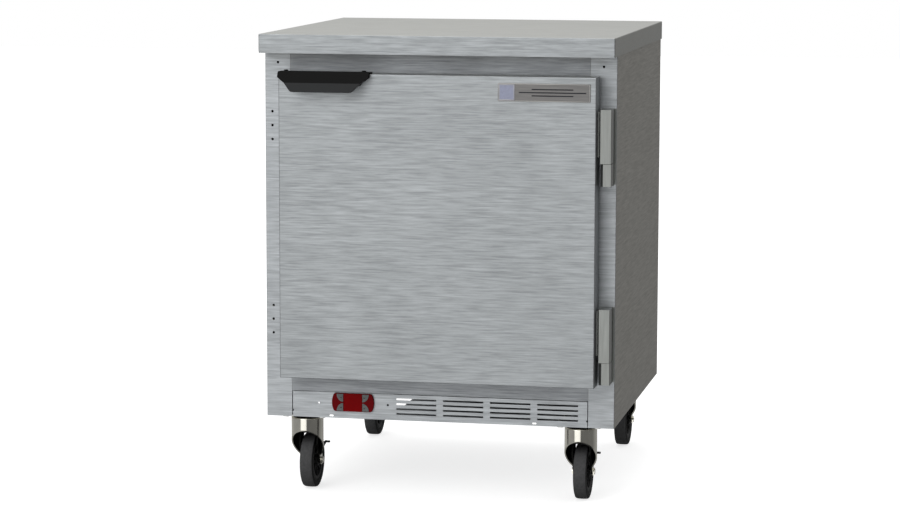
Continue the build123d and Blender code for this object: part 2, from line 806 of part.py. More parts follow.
# ---------------------------------------------------------------------------- evaporator
cover_half = 230.0
cover_heights = (440.0, 640.0)
cover_front = 500.0
fan_place = (-120.0, 548.0)
fan_tip = 60.0
fan_hub = 18.0
motor_radius = 26.0
shaft_radius = 3.0
coil_x = (-30.0, 215.0)
coil_depths = (512.0, 576.0)
coil_heights = (470.0, 622.0)
fin_pitch = 9.0
fin_thickness = 0.8
coil_tube_radius = 4.5
tray_heights = (446.0, 462.0)
tray_wall = 1.5

with BuildPart() as evaporator_cover:
    block((-cover_half, cover_half), (cover_front, liner_back), cover_heights)
    block(
        (-cover_half + sheet, cover_half - sheet),
        (cover_front + sheet, liner_back),
        (cover_heights[0], cover_heights[1] - sheet),
        mode=Mode.SUBTRACT,
    )
    disc(facing(cover_front + 5, *fan_place), fan_tip + 3, 10, mode=Mode.SUBTRACT)
    with BuildSketch(facing(cover_front)):
        with Locations((92, 545)):
            with GridLocations(260, 16, 1, 9):
                SlotOverall(210, 6)
    extrude(amount=-sheet, mode=Mode.SUBTRACT)
evaporator_cover.part.label = "evaporator_cover"
export_step(evaporator_cover.part, "parts/evaporator_cover.step")

with BuildPart() as evaporator_fan_motor:
    disc(facing(568, *fan_place), motor_radius, 38)
    disc(facing(530, *fan_place), shaft_radius, 24)
    for angle in (45, 135, 225, 315):
        arm = Plane(
            origin=(fan_place[0], face_y + 560, caster_height + fan_place[1]),
            x_dir=(cos(radians(angle)), 0, sin(radians(angle))),
            z_dir=(0, -1, 0),
        )
        with BuildSketch(arm):
            with Locations((48, 0)):
                Rectangle(54, 8)
        extrude(amount=2)
        with BuildSketch(arm):
            with Locations((73, 0)):
                Rectangle(6, 8)
        extrude(amount=560 - cover_front - sheet)
evaporator_fan_motor.part.label = "evaporator_fan_motor"
export_step(evaporator_fan_motor.part, "parts/evaporator_fan_motor.step")

with BuildPart() as evaporator_fan_blade:
    fan_wheel(facing(524, *fan_place), fan_hub, fan_tip - 1, 15, shaft_radius, 5, 28)
evaporator_fan_blade.part.label = "evaporator_fan_blade"
export_step(evaporator_fan_blade.part, "parts/evaporator_fan_blade.step")

with BuildPart() as evaporator_coil:
    fin_count = int((coil_x[1] - coil_x[0]) / fin_pitch)
    for number in range(fin_count + 1):
        x = coil_x[0] + number * fin_pitch
        block((x, x + fin_thickness), coil_depths, coil_heights)
    for row in range(2):
        for rise in range(5):
            place = (coil_depths[0] + 16 + 32 * row, coil_heights[0] + 16 + 30 * rise)
            disc(flank(coil_x[0] - 6, *place), coil_tube_radius, coil_x[1] - coil_x[0] + 10)
evaporator_coil.part.label = "evaporator_coil"
export_step(evaporator_coil.part, "parts/evaporator_coil.step")

with BuildPart() as drip_tray:
    tray_x = (-200.0, 225.0)
    tray_depths = (504.0, 580.0)
    block(tray_x, tray_depths, tray_heights)
    block(
        (tray_x[0] + tray_wall, tray_x[1] - tray_wall),
        (tray_depths[0] + tray_wall, tray_depths[1] - tray_wall),
        (tray_heights[0] + tray_wall, tray_heights[1]),
        mode=Mode.SUBTRACT,
    )
    disc(level(compartment_height - 12, *drain_hole), 6, tray_heights[0] + tray_wall - compartment_height + 12)
    disc(level(compartment_height - 13, *drain_hole), 4.5, deep, mode=Mode.SUBTRACT)
    disc(level(tray_heights[0] - 1, *pipe_hole), pipe_hole_radius, 4, mode=Mode.SUBTRACT)
drip_tray.part.label = "drip_tray"
export_step(drip_tray.part, "parts/drip_tray.step")

# ------------------------------------------------------------------------ condensing unit
compressor_place = (10.0, 525.0)
compressor_radius = 70.0
compressor_heights = (22.0, 180.0)
suction_port = (50.0, 525.0)
discharge_port = (-20.0, 560.0)
port_height = 188.0
suction_radius = 4.8
liquid_radius = 2.4
drier_radius = 9.5
condenser_x = (-296.0, -246.0)
condenser_depths = (436.0, 622.0)
condenser_heights = (18.0, 222.0)
condenser_fan = (529.0, 120.0)
condenser_fan_tip = 82.0
shroud_x = (-240.0, -238.8)
shroud_heights = (18.0, 226.0)

with BuildPart() as compressor:
    disc(level(compressor_heights[0], *compressor_place), compressor_radius, 158)
    fillet(compressor.faces().sort_by(Axis.Z)[-1].edges(), radius=42)
    fillet(compressor.faces().sort_by(Axis.Z)[0].edges(), radius=14)
    disc(level(95, *compressor_place), compressor_radius + 3, 5)
    plate(level(20, *compressor_place), 190, 130, 3, 12)
    with BuildSketch(level(rail_top, *compressor_place)):
        with GridLocations(160, 100, 2, 2):
            Circle(9)
    extrude(amount=20 - rail_top)
    plate(flank(compressor_place[0] + 60, compressor_place[1], 80), 62, 56, 28, 4)
    for (x, depth), radius in ((suction_port, suction_radius + 1.5), (discharge_port, liquid_radius + 1.5)):
        disc(level(compressor_heights[1] - 20, x, depth), radius, port_height - compressor_heights[1] + 20)
compressor.part.label = "compressor"
export_step(compressor.part, "parts/compressor.step")

with BuildPart() as condenser_coil:
    fin_count = int((condenser_depths[1] - condenser_depths[0] - 4) / fin_pitch)
    for number in range(fin_count + 1):
        depth = condenser_depths[0] + 2 + number * fin_pitch
        block(condenser_x, (depth, depth + fin_thickness), condenser_heights)
    for row in range(2):
        for rise in range(6):
            x = condenser_x[0] + 13 + 24 * row
            height = condenser_heights[0] + 17 + 34 * rise
            disc(facing(condenser_depths[0] - 4, x, height), coil_tube_radius, -188)
    for depth in (445, 532):
        block(condenser_x, (depth, depth + 14), (rail_top, condenser_heights[0] + 1))
condenser_coil.part.label = "condenser_coil"
export_step(condenser_coil.part, "parts/condenser_coil.step")

with BuildPart() as condenser_shroud:
    block(shroud_x, condenser_depths, shroud_heights)
    for depth in (condenser_depths[0], condenser_depths[1] - sheet):
        block((shroud_x[0], shroud_x[0] + 20), (depth, depth + sheet), shroud_heights)
    disc(flank(shroud_x[0] - 1, *condenser_fan), condenser_fan_tip + 4, 5, mode=Mode.SUBTRACT)
condenser_shroud.part.label = "condenser_shroud"
export_step(condenser_shroud.part, "parts/condenser_shroud.step")

with BuildPart() as condenser_fan_motor:
    disc(flank(-200, *condenser_fan), 36, 46)
    disc(flank(-232, *condenser_fan), shaft_radius, 34)
    block((-190, -170), (condenser_fan[0] - 20, condenser_fan[0] + 20), (rail_top, condenser_fan[1] - 20))
condenser_fan_motor.part.label = "condenser_fan_motor"
export_step(condenser_fan_motor.part, "parts/condenser_fan_motor.step")

with BuildPart() as condenser_fan_blade:
    fan_wheel(flank(-230, *condenser_fan), 20, condenser_fan_tip, 18, shaft_radius, 5, 26)
condenser_fan_blade.part.label = "condenser_fan_blade"
export_step(condenser_fan_blade.part, "parts/condenser_fan_blade.step")

with BuildPart() as suction_line:
    tube_along(
        [(*suction_port, port_height), (*suction_port, 228), (85, 560, 228), (85, 560, 464)],
        14,
        suction_radius,
    )
with BuildPart() as discharge_line:
    tube_along(
        [(*discharge_port, port_height), (*discharge_port, 236), (-272, 560, 236), (-272, 560, 223)],
        6,
        liquid_radius,
    )
with BuildPart() as capillary_line:
    tube_along(
        [(-150, 590, 60), (-150, 590, 200), (-60, 590, 240), (98, 590, 240), (98, 560, 240), (98, 560, 464)],
        10,
        liquid_radius,
    )
    disc(level(70, -150, 590), drier_radius, 90)
with BuildPart() as refrigerant_lines:
    add(suction_line.part)
    add(discharge_line.part)
    add(capillary_line.part)
refrigerant_lines.part.label = "refrigerant_lines"
export_step(refrigerant_lines.part, "parts/refrigerant_lines.step")

with BuildPart() as condensate_pan:
    pan_x = (150.0, 314.0)
    pan_depths = (440.0, 620.0)
    block(pan_x, pan_depths, (16, 50))
    block(
        (pan_x[0] + tray_wall, pan_x[1] - tray_wall),
        (pan_depths[0] + tray_wall, pan_depths[1] - tray_wall),
        (16 + tray_wall, 50),
        mode=Mode.SUBTRACT,
    )
    with BuildSketch(level(rail_top, sum(pan_x) / 2, 495)):
        with GridLocations(120, 80, 2, 2):
            Rectangle(14, 14)
    extrude(amount=16 - rail_top)
condensate_pan.part.label = "condensate_pan"
export_step(condensate_pan.part, "parts/condensate_pan.step")

# ------------------------------------------------------------------- fasteners of the box
with BuildPart() as cabinet_screws:
    for height in hinge_screw_heights:
        screw(facing(-2, hinge_screw_x, height), 4.4, 1.7, 10)
    for x, height in rear_screw_places:
        with BuildSketch(facing(cabinet_depth + 1.8, x, height)) as rear_head:
            Circle(4.2)
        extrude(amount=1.8)
        disc(facing(cabinet_depth, x, height), screw_radius, 8)
    for x, depth in caster_spots.values():
        for shift_x in (-bolt_grid[0] / 2, bolt_grid[0] / 2):
            for shift_depth in (-bolt_grid[1] / 2, bolt_grid[1] / 2):
                underneath = Plane(
                    origin=(x + shift_x, face_y + depth + shift_depth, caster_height + gap),
                    z_dir=(0, 0, -1),
                )
                screw(underneath, 6.5, 3.6, 11.0, sides=6)
                with BuildSketch(level(rail_top, x + shift_x, depth + shift_depth)) as nut:
                    RegularPolygon(6.5, 6)
                extrude(nut.sketch, amount=4.0)
cabinet_screws.part.label = "cabinet_screws"
export_step(cabinet_screws.part, "parts/cabinet_screws.step")

# ------------------------------------------------------------------------------- casters
plate_size = (92.0, 70.0)
raceway_bottom = -4.6
hood_top = -6.0
hood_roof = 3.0
hood_bottom = -92.0
slot_half = 16.0
leg_thickness = 3.0
mouth_curve = ((-40.0, -22.0), (-4.8, -55.8), (34.0, -101.0))
raceway_radius = 28.0
wheel_clearance = 1.2
boss_clearance = 16.0
nut_radius = 7.5
nut_height = 2.6
lever_thickness = 2.5
lever_gap = 0.4
lever_pivot = (34.0, -72.0)
lever_pin_radius = 3.0
lever_eye = 5.5
tab_reach = 29.5
tab_depths = (60.0, 67.0)
tab_heights = (-70.0, -67.0)

with BuildPart() as caster_plates:
    for x, depth in caster_spots.values():
        plate(level(gap, x, depth), *plate_size, 3.0, 4.0)
        disc(level(raceway_bottom, x, depth), raceway_radius, gap - raceway_bottom)
        disc(level(hood_top - hood_roof - 3.4, x, depth), king_pin_radius, 12)
        disc(level(hood_top - hood_roof - 3.4, x, depth), king_pin_radius + 3, 3.0)
        with BuildSketch(level(gap, x, depth)):
            with GridLocations(*bolt_grid, 2, 2):
                Circle(bolt_hole)
        extrude(amount=3.0, mode=Mode.SUBTRACT)
caster_plates.part.label = "caster_plates"
export_step(caster_plates.part, "parts/caster_plates.step")


def leg(plane):
    """Cheek beside the wheel: it runs from the tube down to the axle boss."""
    with BuildSketch(plane) as outline:
        with BuildLine():
            Polyline((6, -62), (14, -34), (27, -34), (45, -98), (27, -104), close=True)
        make_face()
        with Locations((caster_trail, axle_height)):
            Circle(9)
    extrude(outline.sketch, amount=leg_thickness)


def mouth(x, depth):
    """Slanted curved opening that cuts away the tube's lower front."""
    with BuildSketch(flank(x - deep, depth)) as outline:
        with BuildLine():
            ThreePointArc(*mouth_curve)
            Polyline(mouth_curve[2], (mouth_curve[2][0], -140), (mouth_curve[0][0], -140), mouth_curve[0])
        make_face()
    extrude(outline.sketch, amount=2 * deep, mode=Mode.SUBTRACT)


for name, (x, depth) in caster_spots.items():
    braked = name.startswith("front")

    with BuildPart() as caster_hood:
        disc(level(hood_bottom, x, depth), hood_radius, hood_top - hood_bottom)
        fillet(caster_hood.faces().sort_by(Axis.Z)[-1].edges(), radius=2.5)
        disc(
            level(hood_bottom, x, depth),
            hood_radius - hood_wall,
            hood_top - hood_roof - hood_bottom,
            mode=Mode.SUBTRACT,
        )
        mouth(x, depth)
        for side in (-1, 1):
            inner = x + side * slot_half - (leg_thickness if side < 0 else 0)
            leg(flank(inner, depth))
        for half, radius in (
            (wheel_half_width + wheel_clearance, wheel_radius + wheel_clearance),
            (slot_half, boss_clearance),
        ):
            slot_plane = flank(x - half, depth + caster_trail, axle_height)
            disc(slot_plane, radius, 2 * half, mode=Mode.SUBTRACT)
        disc(level(hood_top - 20, x, depth), king_pin_radius + running, 30, mode=Mode.SUBTRACT)
        disc(
            flank(x - deep, depth + caster_trail, axle_height),
            axle_radius + 0.05,
            2 * deep,
            mode=Mode.SUBTRACT,
        )
        if braked:
            pin_start = x + slot_half + leg_thickness - gap
            pin_length = 2 * gap + 2 * lever_gap + lever_thickness
            disc(flank(pin_start, depth + lever_pivot[0], lever_pivot[1]), lever_pin_radius, pin_length)
            disc(
                flank(pin_start + pin_length - gap, depth + lever_pivot[0], lever_pivot[1]),
                lever_pin_radius + 1.5,
                1.2,
            )
    with BuildPart() as axle_bolt:
        reach = slot_half + leg_thickness + gap
        axle_plane = flank(x - reach, depth + caster_trail, axle_height)
        disc(axle_plane.offset(-nut_height), axle_radius, 2 * reach + 2 * nut_height + 1)
        for start in (-nut_height, 2 * reach):
            with BuildSketch(axle_plane.offset(start)):
                RegularPolygon(nut_radius, 6)
            extrude(amount=nut_height)
    with BuildPart() as hood_and_axle:
        add(caster_hood.part)
        add(axle_bolt.part)
    hood_and_axle.part.label = f"{name}_caster_hood"
    export_step(hood_and_axle.part, f"parts/{name}_caster_hood.step")

    with BuildPart() as tyre:
        tyre_plane = flank(x - wheel_half_width, depth + caster_trail, axle_height)
        disc(tyre_plane, wheel_radius, 2 * wheel_half_width)
        fillet(tyre.edges(), radius=3.0)
        disc(tyre_plane, 38, 2 * wheel_half_width, mode=Mode.SUBTRACT)
    with BuildPart() as wheel_hub:
        disc(tyre_plane.offset(1), 37.95, 2 * wheel_half_width - 2)
        for start in (1, 2 * wheel_half_width - 8):
            with BuildSketch(tyre_plane.offset(start)):
                Circle(31)
                Circle(13, mode=Mode.SUBTRACT)
            extrude(amount=7, mode=Mode.SUBTRACT)
        disc(tyre_plane.offset(-1.3), 11, 2 * wheel_half_width + 2.6)
        disc(tyre_plane.offset(-2), axle_radius + running, 40, mode=Mode.SUBTRACT)
    with BuildPart() as wheel:
        add(tyre.part)
        add(wheel_hub.part)
    wheel.part.label = f"{name}_caster_wheel"
    export_step(wheel.part, f"parts/{name}_caster_wheel.step")

    if braked:
        with BuildPart() as brake_pedal:
            lever_plane = flank(x + slot_half + leg_thickness + lever_gap, depth)
            with BuildSketch(lever_plane):
                with BuildLine():
                    Polyline((34, -66.5), (67, -66.5), (67, -70.5), (60, -72), (34, -77.5), close=True)
                make_face()
                with Locations(lever_pivot):
                    Circle(lever_eye)
                    Circle(lever_pin_radius + running, mode=Mode.SUBTRACT)
            extrude(amount=lever_thickness)
            block(
                (x + slot_half + leg_thickness + lever_gap, x + tab_reach),
                (depth + tab_depths[0], depth + tab_depths[1]),
                tab_heights,
            )
            fillet(brake_pedal.edges().filter_by(Axis.Z).sort_by(Axis.X)[-2:], radius=2)
        brake_pedal.part.label = f"{name}_brake_pedal"
        export_step(brake_pedal.part, f"parts/{name}_brake_pedal.step")
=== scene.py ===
import json
from math import cos, pi, radians, sin

import bmesh
import bpy
from mathutils import Matrix, Vector


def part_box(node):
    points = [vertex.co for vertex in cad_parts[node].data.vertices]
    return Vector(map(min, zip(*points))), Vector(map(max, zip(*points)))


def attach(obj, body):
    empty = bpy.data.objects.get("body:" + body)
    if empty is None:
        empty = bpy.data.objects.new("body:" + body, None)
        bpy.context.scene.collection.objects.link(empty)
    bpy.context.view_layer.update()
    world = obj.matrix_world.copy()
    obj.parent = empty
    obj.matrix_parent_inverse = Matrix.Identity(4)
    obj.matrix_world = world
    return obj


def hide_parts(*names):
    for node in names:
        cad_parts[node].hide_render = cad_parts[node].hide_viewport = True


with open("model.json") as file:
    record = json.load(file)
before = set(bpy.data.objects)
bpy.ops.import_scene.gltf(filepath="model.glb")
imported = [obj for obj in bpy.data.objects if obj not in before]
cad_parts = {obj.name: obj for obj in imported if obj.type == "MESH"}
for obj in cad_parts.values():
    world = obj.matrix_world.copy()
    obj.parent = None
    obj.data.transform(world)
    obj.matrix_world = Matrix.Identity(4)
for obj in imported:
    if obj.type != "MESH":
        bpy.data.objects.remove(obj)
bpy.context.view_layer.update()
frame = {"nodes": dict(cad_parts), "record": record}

# Looks of an undercounter refrigerator: brushed stainless cabinet on four hooded casters.
# Everything is in metres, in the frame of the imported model.

nodes = frame["nodes"]
slot_of = {part["node"]: part["material_slot"] for part in frame["record"]["subparts"]}

cabinet_low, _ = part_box("left_side_panel")
face_y = cabinet_low.y
base_z = cabinet_low.z

# ------------------------------------------------------------------------------- camera
camera_from_face = Vector((1.0967, -5.2956, 1.0307))
camera_turn = 11.474
camera_tilt = 7.397
camera_roll = 0.114
focal_length = 114.0


def make_camera():
    turn, tilt = radians(camera_turn), radians(camera_tilt)
    backwards = Vector((sin(turn) * cos(tilt), -cos(turn) * cos(tilt), sin(tilt)))
    right = Vector((0, 0, 1)).cross(backwards).normalized()
    up = backwards.cross(right)
    axes = Matrix((right, up, backwards)).transposed().to_4x4()
    data = bpy.data.cameras.new("camera")
    data.lens = focal_length
    data.clip_end = 100
    camera = bpy.data.objects.new("camera", data)
    place = Matrix.Translation(Vector((0, face_y, base_z)) + camera_from_face)
    camera.matrix_world = place @ axes @ Matrix.Rotation(radians(camera_roll), 4, "Z")
    bpy.context.scene.collection.objects.link(camera)
    bpy.context.scene.camera = camera


make_camera()


# ------------------------------------------------------------------------------- studio
def area_light(name, place, target, size, power, colour=(1, 1, 1)):
    data = bpy.data.lights.new(name, "AREA")
    data.shape = "RECTANGLE"
    data.size, data.size_y = size
    data.energy = power
    data.color = colour
    light = bpy.data.objects.new(name, data)
    direction = Vector(target) - Vector(place)
    light.rotation_euler = direction.to_track_quat("-Z", "Y").to_euler()
    light.location = place
    bpy.context.scene.collection.objects.link(light)


class NodeWriter:
    """Adds nodes to one node tree."""

    def node(self, kind, **settings):
        made = self.tree.nodes.new(kind)
        for key, value in settings.items():
            setattr(made, key, value)
        return made


class Maths(NodeWriter):
    """Writes arithmetic as shader nodes."""

    def __init__(self, tree):
        self.tree = tree

    def do(self, operation, first, second):
        made = self.node("ShaderNodeMath", operation=operation)
        for socket, value in zip(made.inputs, (first, second)):
            if isinstance(value, float):
                socket.default_value = value
            else:
                self.tree.links.new(value, socket)
        return made.outputs[0]

    def step(self, value, low, high):
        made = self.node("ShaderNodeMapRange", interpolation_type="SMOOTHSTEP")
        made.inputs["From Min"].default_value = low
        made.inputs["From Max"].default_value = high
        self.tree.links.new(value, made.inputs["Value"])
        return made.outputs["Result"]


band_edges = (radians(-36), radians(6))
band_softness = radians(3)
room = {"right": 0.14, "left": 0.17, "band": 0.98, "above": 0.54, "behind": 0.16}


def make_world():
    """White behind the object, and a room for its metal to reflect: a tall soft box stands in front."""
    world = bpy.data.worlds.new("studio")
    world.use_nodes = True
    bpy.context.scene.world = world
    tree = world.node_tree
    tree.nodes.clear()
    maths = Maths(tree)
    axes = maths.node("ShaderNodeSeparateXYZ")
    tree.links.new(maths.node("ShaderNodeTexCoord").outputs["Generated"], axes.inputs[0])
    x, y, z = axes.outputs
    azimuth = maths.do("ARCTAN2", x, maths.do("MULTIPLY", y, -1.0))
    after_left = maths.step(azimuth, band_edges[0] - band_softness, band_edges[0] + band_softness)
    before_right = maths.step(azimuth, band_edges[1] + band_softness, band_edges[1] - band_softness)
    band = maths.do("MULTIPLY", maths.do("MULTIPLY", after_left, before_right), room["band"])
    left = maths.do("MULTIPLY", maths.step(azimuth, 0.2, -0.2), room["left"])
    above = maths.do("MULTIPLY", maths.step(z, 0.05, 0.6), room["above"])
    behind = maths.do("MULTIPLY", maths.step(y, 0.1, 0.8), room["behind"])
    sides = maths.do("ADD", maths.do("ADD", left, behind), room["right"])
    strength = maths.do("ADD", maths.do("ADD", band, above), sides)

    seen = maths.node("ShaderNodeBackground")
    seen.inputs["Color"].default_value = (1, 1, 1, 1)
    reflected = maths.node("ShaderNodeBackground")
    reflected.inputs["Color"].default_value = (1, 1, 1, 1)
    tree.links.new(strength, reflected.inputs["Strength"])
    mix = maths.node("ShaderNodeMixShader")
    tree.links.new(maths.node("ShaderNodeLightPath").outputs["Is Camera Ray"], mix.inputs[0])
    tree.links.new(reflected.outputs[0], mix.inputs[1])
    tree.links.new(seen.outputs[0], mix.inputs[2])
    tree.links.new(mix.outputs[0], maths.node("ShaderNodeOutputWorld").inputs["Surface"])


make_world()
area_light("key", (-2.2, -4.2, 2.8), (0, 0, 0.5), (2.4, 2.0), 34)
area_light("top", (-0.6, 0.6, 4.0), (0, 0, 0.9), (3.0, 3.0), 26)


# ----------------------------------------------------------------------------- materials
class Recipe(NodeWriter):
    """A Principled material whose colour, roughness and bump come from its own nodes."""

    def __init__(self, name, colour, roughness=0.5, metallic=0.0, specular=0.5):
        self.material = bpy.data.materials.new(name)
        self.material.use_nodes = True
        self.tree = self.material.node_tree
        self.shader = self.tree.nodes["Principled BSDF"]
        self.shader.inputs["Base Color"].default_value = (*colour, 1)
        self.shader.inputs["Roughness"].default_value = roughness
        self.shader.inputs["Metallic"].default_value = metallic
        self.shader.inputs["Specular IOR Level"].default_value = specular

    def link(self, source, target):
        self.tree.links.new(source, target)

    def noise(self, scale, stretch=(1, 1, 1), detail=4.0, rough=0.55):
        place = self.node("ShaderNodeTexCoord")
        mapping = self.node("ShaderNodeMapping")
        mapping.inputs["Scale"].default_value = stretch
        noise = self.node("ShaderNodeTexNoise")
        noise.inputs["Scale"].default_value = scale
        noise.inputs["Detail"].default_value = detail
        noise.inputs["Roughness"].default_value = rough
        self.link(place.outputs["Object"], mapping.inputs["Vector"])
        self.link(mapping.outputs["Vector"], noise.inputs["Vector"])
        return noise.outputs["Fac"]

    def blend(self, first, second, share):
        mix = self.node("ShaderNodeMix", data_type="FLOAT")
        mix.inputs[0].default_value = share
        self.link(first, mix.inputs[2])
        self.link(second, mix.inputs[3])
        return mix.outputs[0]

    def tint(self, factor, dark, light, low=0.3, high=0.7):
        ramp = self.node("ShaderNodeValToRGB")
        ramp.color_ramp.elements[0].position = low
        ramp.color_ramp.elements[1].position = high
        ramp.color_ramp.elements[0].color = (*dark, 1)
        ramp.color_ramp.elements[1].color = (*light, 1)
        self.link(factor, ramp.inputs["Fac"])
        self.link(ramp.outputs["Color"], self.shader.inputs["Base Color"])

    def vary_roughness(self, factor, low, high):
        spread = self.node("ShaderNodeMapRange")
        spread.inputs["From Min"].default_value = 0.3
        spread.inputs["From Max"].default_value = 0.7
        spread.inputs["To Min"].default_value = low
        spread.inputs["To Max"].default_value = high
        self.link(factor, spread.inputs["Value"])
        self.link(spread.outputs["Result"], self.shader.inputs["Roughness"])

    def bump(self, factor, strength, distance):
        bump = self.node("ShaderNodeBump")
        bump.inputs["Strength"].default_value = strength
        bump.inputs["Distance"].default_value = distance
        self.link(factor, bump.inputs["Height"])
        self.link(bump.outputs["Normal"], self.shader.inputs["Normal"])


def scaled(colour, factor):
    return tuple(min(1.0, part * factor) for part in colour)


grain_along = {"x": (0.06, 1, 1), "y": (1, 0.06, 1), "z": (1, 1, 0.06)}


def brushed(name, colour, grain="x", contrast=0.2, roughness=0.54):
    """Brushed stainless: long fine streaks over a soft cloud of tone."""
    recipe = Recipe(name, colour, roughness, 1.0)
    streaks = recipe.noise(330, grain_along[grain], 6.0, 0.62)
    hairlines = recipe.noise(900, tuple(part * part for part in grain_along[grain]), 2.0, 0.5)
    grain_mix = recipe.blend(streaks, hairlines, 0.3)
    recipe.tint(grain_mix, scaled(colour, 1 - contrast), scaled(colour, 1 + contrast), 0.34, 0.66)
    handling = recipe.noise(7, (1, 1, 1), 3.0)
    recipe.vary_roughness(recipe.blend(streaks, handling, 0.5), roughness + 0.07, roughness - 0.07)
    recipe.bump(grain_mix, 0.12, 0.0003)
    return recipe.material


def sheet_metal(name, colour, roughness=0.5, spangle=0.08):
    recipe = Recipe(name, colour, roughness, 0.9)
    cloud = recipe.noise(60, (1, 1, 1), 3.0)
    recipe.tint(cloud, scaled(colour, 1 - spangle), scaled(colour, 1 + spangle))
    recipe.vary_roughness(cloud, roughness - 0.06, roughness + 0.06)
    return recipe.material


def moulded(name, colour, roughness=0.45, texture=1400, depth=0.00012, variation=0.06, specular=0.15):
    recipe = Recipe(name, colour, roughness, specular=specular)
    fine = recipe.noise(texture, (1, 1, 1), 2.0)
    recipe.tint(fine, scaled(colour, 1 - variation), scaled(colour, 1 + variation))
    recipe.bump(fine, 0.25, depth)
    return recipe.material


def plated(name, colour, roughness=0.22):
    recipe = Recipe(name, colour, roughness, 1.0)
    cloud = recipe.noise(90, (1, 1, 0.3), 4.0)
    recipe.tint(cloud, scaled(colour, 0.92), scaled(colour, 1.06))
    recipe.vary_roughness(cloud, roughness - 0.04, roughness + 0.06)
    return recipe.material


def rubber(name, colour, roughness=0.75):
    recipe = Recipe(name, colour, roughness, specular=0.12)
    scuff = recipe.noise(220, (1, 1, 1), 6.0, 0.7)
    recipe.tint(scuff, scaled(colour, 0.8), scaled(colour, 1.25))
    recipe.vary_roughness(scuff, roughness - 0.1, roughness + 0.08)
    recipe.bump(scuff, 0.2, 0.0003)
    return recipe.material


def foam(name, colour):
    recipe = Recipe(name, colour, 0.95)
    cells = recipe.noise(700, (1, 1, 1), 5.0, 0.7)
    recipe.tint(cells, scaled(colour, 0.8), scaled(colour, 1.1))
    recipe.bump(cells, 0.6, 0.001)
    return recipe.material


materials = {
    "worktop_steel": brushed("worktop_steel", (0.428, 0.432, 0.412), "x", 0.13),
    "side_steel": brushed("side_steel", (0.405, 0.396, 0.366), "y", 0.18),
    "front_steel": brushed("front_steel", (0.44, 0.46, 0.475), "x", 0.2),
    "door_steel": brushed("door_steel", (0.405, 0.425, 0.436), "x", 0.22),
    "galvanised": sheet_metal("galvanised", (0.5, 0.52, 0.53)),
    "liner": sheet_metal("liner", (0.72, 0.73, 0.74), 0.42, 0.04),
    "white_plastic": moulded("white_plastic", (0.74, 0.75, 0.74)),
    "black_plastic": moulded("black_plastic", (0.016, 0.016, 0.017)),
    "foam": foam("foam", (0.72, 0.62, 0.40)),
    "screw_steel": plated("screw_steel", (0.56, 0.56, 0.54), 0.3),
    "facia": moulded("facia", (0.15, 0.001, 0.003), 0.55, specular=0.08),
    "window": moulded("window", (0.20, 0.0, 0.001), 0.42, 60, 0.00001, specular=0.06),
    "key_rubber": rubber("key_rubber", (0.16, 0.17, 0.17), 0.7),
    "shelf_coating": moulded("shelf_coating", (0.7, 0.71, 0.7), 0.35),
    "coil_metal": sheet_metal("coil_metal", (0.6, 0.61, 0.62), 0.4),
    "motor": moulded("motor", (0.03, 0.03, 0.032), 0.4),
    "compressor_paint": moulded("compressor_paint", (0.012, 0.012, 0.013), 0.3, 500),
    "copper": plated("copper", (0.72, 0.34, 0.18), 0.3),
    "fan_plastic": moulded("fan_plastic", (0.03, 0.03, 0.032)),
    "caster_plating": plated("caster_plating", (0.80, 0.78, 0.70), 0.1),
    "caster_tyre": rubber("caster_tyre", (0.078, 0.078, 0.08), 0.8),
    "pedal_plastic": moulded("pedal_plastic", (0.012, 0.012, 0.012)),
    "hinge_chrome": brushed("hinge_chrome", (0.265, 0.274, 0.262), "z", 0.08, 0.36),
    "gasket_rubber": rubber("gasket_rubber", (0.22, 0.22, 0.22)),
    "handle_plastic": moulded("handle_plastic", (0.005, 0.005, 0.005), 0.5, specular=0.07),
    "badge_metal": brushed("badge_metal", (0.22, 0.215, 0.21), "x", 0.08),
    "badge_tile": moulded("badge_tile", (0.36, 0.38, 0.50), 0.45, 200),
}
extra = {
    # Painted shade: darker copy of the front steel for the shaded header between worktop and door.
    "frame_steel_painted_shade": brushed("frame_steel_painted_shade", (0.35, 0.365, 0.38), "x", 0.2, 0.6),
    # Painted light: lighter copy of the handle's black plastic for its lit lower band.
    "handle_painted_light_band": moulded("handle_painted_light_band", (0.024, 0.025, 0.026), 0.5, specular=0.12),
    # Painted shade: near-black sheet for the shaded inside of each caster hood.
    "hood_painted_shade": sheet_metal("hood_painted_shade", (0.012, 0.012, 0.011), 0.7),
    # Painted shade: near-black for the shaded gap above each caster hood and the shaded corner holes in
    # the front.
    "gap_painted_shade": rubber("gap_painted_shade", (0.008, 0.008, 0.007), 0.7),
    # Painted shade: darker copy of the tyre rubber for the sidewalls in the hood's shade.
    "tyre_side_painted_shade": rubber("tyre_side_painted_shade", (0.012, 0.012, 0.012), 0.7),
    "wheel_hub": moulded("wheel_hub", (0.014, 0.014, 0.014), 0.5),
    "badge_rim": brushed("badge_rim", (0.5, 0.49, 0.47), "x", 0.06),
    "badge_line": moulded("badge_line", (0.03, 0.03, 0.035), 0.5),
    "key_mark": moulded("key_mark", (0.02, 0.02, 0.022), 0.6),
}

for name, piece in nodes.items():
    piece.data.materials.clear()
    piece.data.materials.append(materials[slot_of[name]])


# ------------------------------------------------------------------ finish of CAD faces
def finish_faces(name, material, chosen):
    """Gives the faces of a CAD node that pass a test of centre and normal their own material."""
    mesh = nodes[name].data
    mesh.materials.append(material)
    for face in mesh.polygons:
        if chosen(face.center, face.normal):
            face.material_index = len(mesh.materials) - 1


swivel_axes = {
    joint["name"].removesuffix("_swivel"): Vector(joint["pos_m"])
    for joint in frame["record"]["behaviour"]["joints"]
    if joint["name"].endswith("_swivel")
}


hood_inner_radius = 0.0295
hood_roof_drop = 0.008


def inside_hood(axis):
    """Test for the faces within a caster hood: its wall, its roof and the cheeks beside the wheel, which
    get near-black painted shade.
    """

    def chosen(centre, normal):
        outwards = Vector((centre.x - axis.x, centre.y - axis.y, 0))
        return outwards.length < hood_inner_radius and centre.z < base_z - hood_roof_drop

    return chosen
